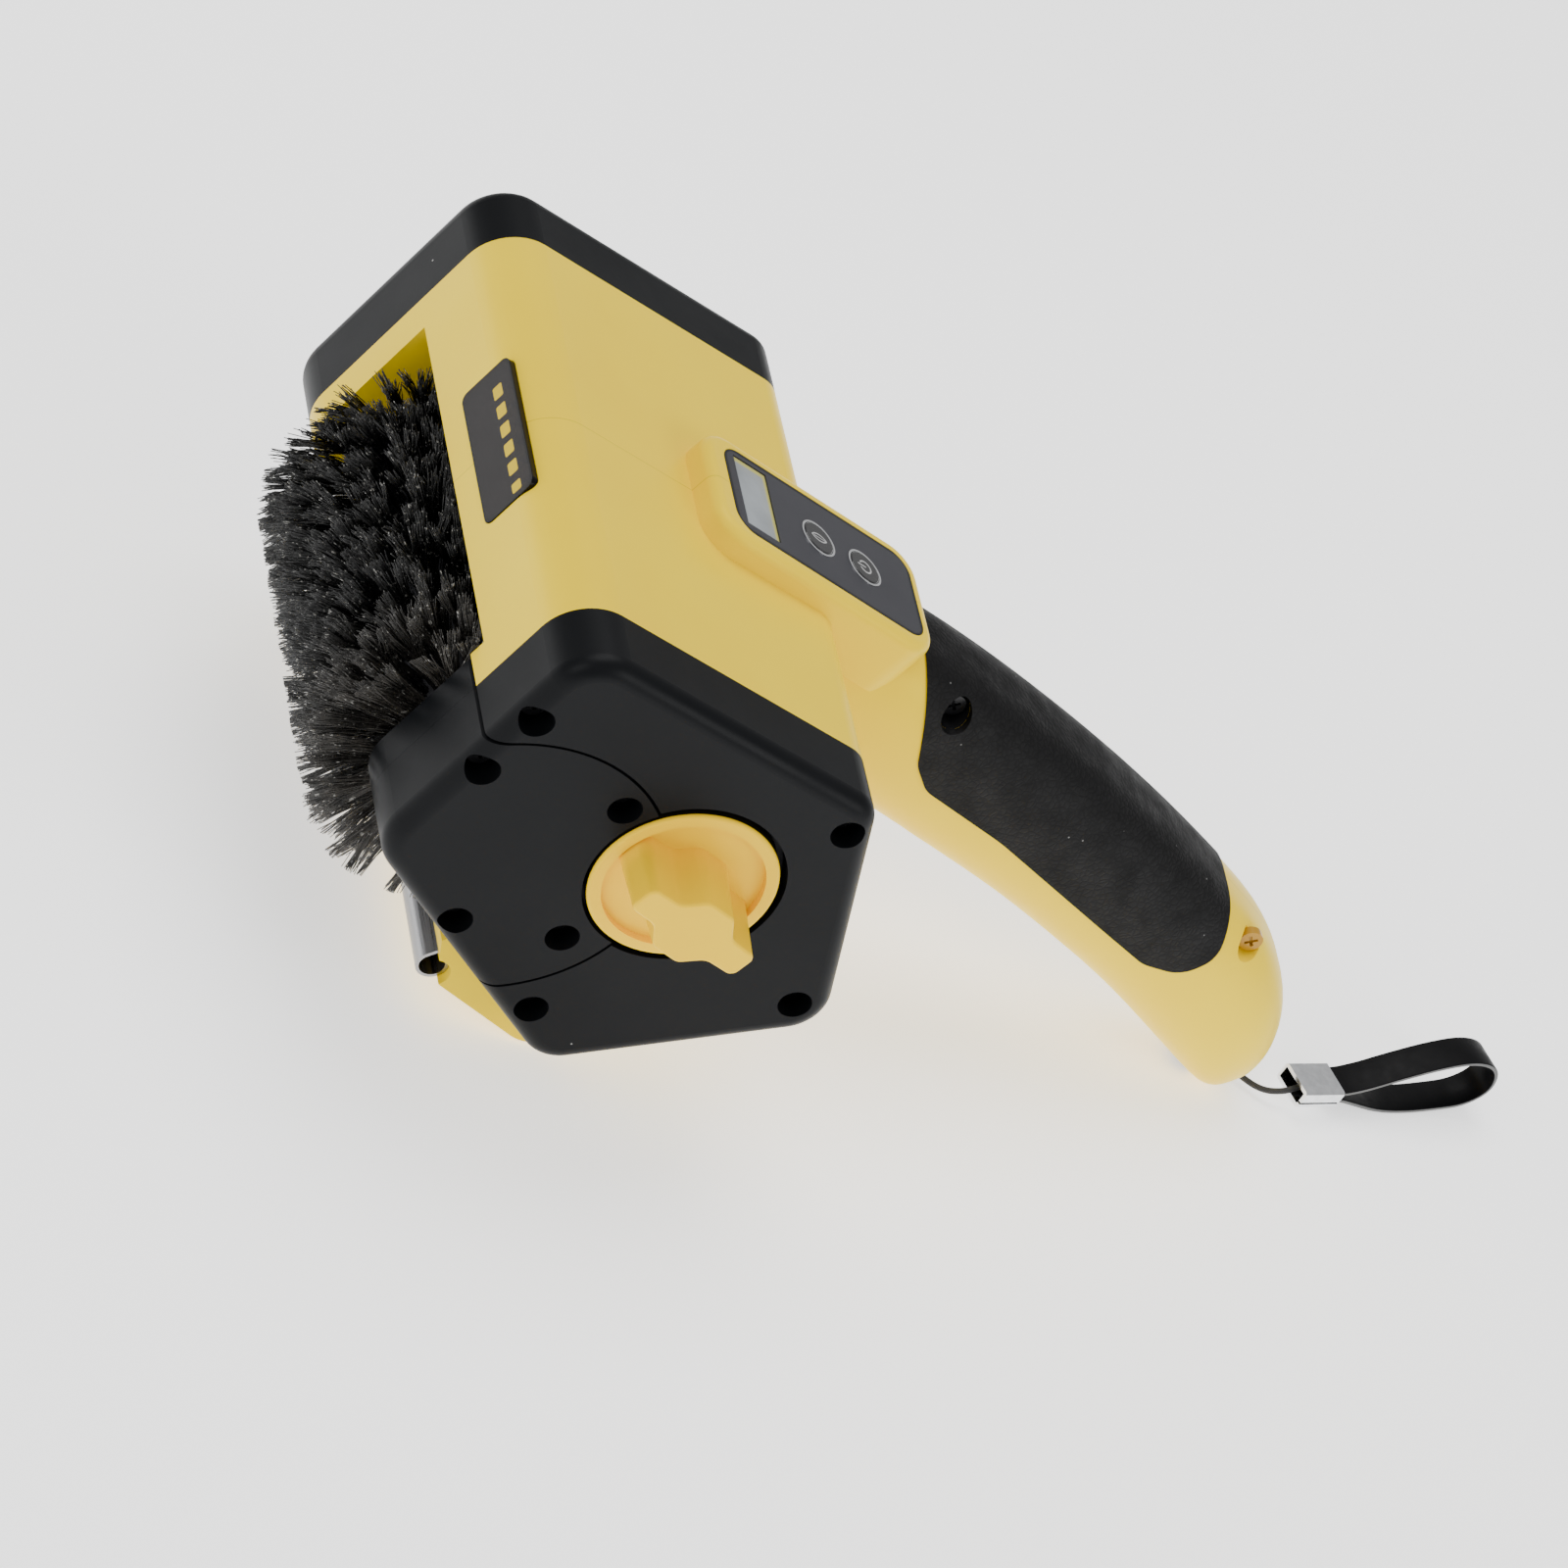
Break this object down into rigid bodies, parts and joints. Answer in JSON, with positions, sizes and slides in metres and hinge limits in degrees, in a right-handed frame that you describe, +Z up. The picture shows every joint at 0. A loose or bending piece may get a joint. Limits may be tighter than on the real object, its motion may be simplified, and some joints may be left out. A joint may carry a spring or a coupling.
{
  "type": "handheld rotary brush collector",
  "caption": "Cordless hand-held roller brush with a five-sided yellow head, black end caps, debris bin, LED strip, display and curved rubber-grip handle.",
  "frame": {"origin": "bottom centre of the rigid tool as it rests on a table, strap left out", "axes": "+X from the brush towards the end of the handle, +Y along the roller from the knob end to the drive end, +Z up"},
  "size_m": [0.3746, 0.1774, 0.1275],
  "materials": {
    "yellow_shell": "injection moulded, fine satin texture",
    "yellow_knob": "moulded plastic, slightly glossier than the shell",
    "grip_rubber": "soft overmould with a fine leather grain",
    "black_plastic": "satin textured moulding",
    "inner_plastic": "plain moulding",
    "steel": "machined",
    "black_steel": "black oxide",
    "bristle": "black nylon tufts",
    "belt_rubber": "moulded rubber",
    "brass": "turned",
    "zinc_can": "plated can",
    "sheet_steel": "rolled sheet",
    "panel": "printed film over plastic",
    "lcd_glass": "clear window over a grey display",
    "board": "solder mask",
    "chrome_ring": "polished plating",
    "button_gloss": "domed glossy button",
    "smoked_window": "smoked clear plastic",
    "led_yellow": "warm LED lens",
    "cell_wrap": "shrink wrap",
    "strap_cord": "braided cord",
    "strap_leather": "thin black strap with lighter cut edges"
  },
  "bodies": {
    "body": {"housing_near": "yellow_shell", "housing_far": "yellow_shell", "grip_near": "grip_rubber", "grip_far": "grip_rubber", "end_cap_near": "black_plastic", "end_cap_far": "black_plastic", "cap_screws_near": "black_steel", "cap_screws_far": "black_steel", "handle_screws": "black_steel", "roller_bearing_far": "steel", "motor": "zinc_can", "motor_bracket": "steel", "motor_screws": "steel", "drive_belt": "belt_rubber", "display_panel": "panel", "lcd_window": "lcd_glass", "lcd_module": "inner_plastic", "control_board": "board", "button_rings": "chrome_ring", "tact_switches": "inner_plastic", "led_window": "smoked_window", "leds": "led_yellow", "led_board": "board", "battery_cells": "cell_wrap", "battery_contacts": "brass", "charge_socket": "inner_plastic", "strap_pin": "steel", "strap_cord": "strap_cord", "strap_clasp": "chrome_ring", "strap_loop": "strap_leather", "scraper_sheet": "sheet_steel"},
    "cover": {"roller_cover": "black_plastic", "roller_end_carrier": "black_plastic", "cover_screws": "black_steel", "roller_bearing_near": "steel"},
    "knob": {"release_knob": "yellow_knob", "knob_cam": "inner_plastic", "knob_washer": "steel", "knob_screw": "steel"},
    "roller": {"roller_core": "inner_plastic", "roller_bristles": "bristle", "roller_axle": "steel"},
    "drive": {"drive_dog": "steel", "roller_pulley": "inner_plastic"},
    "rotor": {"motor_shaft": "steel", "motor_pulley": "brass"},
    "power_button": {"power_button": "button_gloss"},
    "mode_button": {"mode_button": "button_gloss"},
    "plug": {"socket_plug": "belt_rubber"}
  },
  "joints": [
    {"name": "cover_slide", "type": "slide", "parent": "body", "child": "cover", "axis": [0, -1, 0], "range_m": [0, 0.15], "deforming": ["roller_bristles"]},
    {"name": "roller_spin", "type": "hinge", "parent": "cover", "child": "roller", "pos_m": [-0.10802, 0.00765, 0.06464], "axis": [0, 1, 0], "continuous": true},
    {"name": "drive_spin", "type": "hinge", "parent": "body", "child": "drive", "pos_m": [-0.10802, 0.06655, 0.06464], "axis": [0, 1, 0], "continuous": true},
    {"name": "motor_spin", "type": "hinge", "parent": "body", "child": "rotor", "pos_m": [-0.04408, 0.03655, 0.07675], "axis": [0, 1, 0], "continuous": true},
    {"name": "knob_turn", "type": "hinge", "parent": "cover", "child": "knob", "pos_m": [-0.06649, -0.06845, 0.07502], "axis": [0, -1, 0], "range_deg": [0, 90]},
    {"name": "power_press", "type": "slide", "parent": "body", "child": "power_button", "axis": [-0.2538, 0, -0.9673], "range_m": [0, 0.0008], "stiffness_N_per_m": 1500, "springref_m": -0.0004},
    {"name": "mode_press", "type": "slide", "parent": "body", "child": "mode_button", "axis": [-0.2538, 0, -0.9673], "range_m": [0, 0.0008], "stiffness_N_per_m": 1500, "springref_m": -0.0004},
    {"name": "plug_pull", "type": "slide", "parent": "body", "child": "plug", "axis": [-0.433, 0, -0.9014], "range_m": [0, 0.006]}
  ],
  "couplings": [
    {"joint": "drive_spin", "follows": "roller_spin", "ratio": 1},
    {"joint": "motor_spin", "follows": "roller_spin", "ratio": 3}
  ]
}
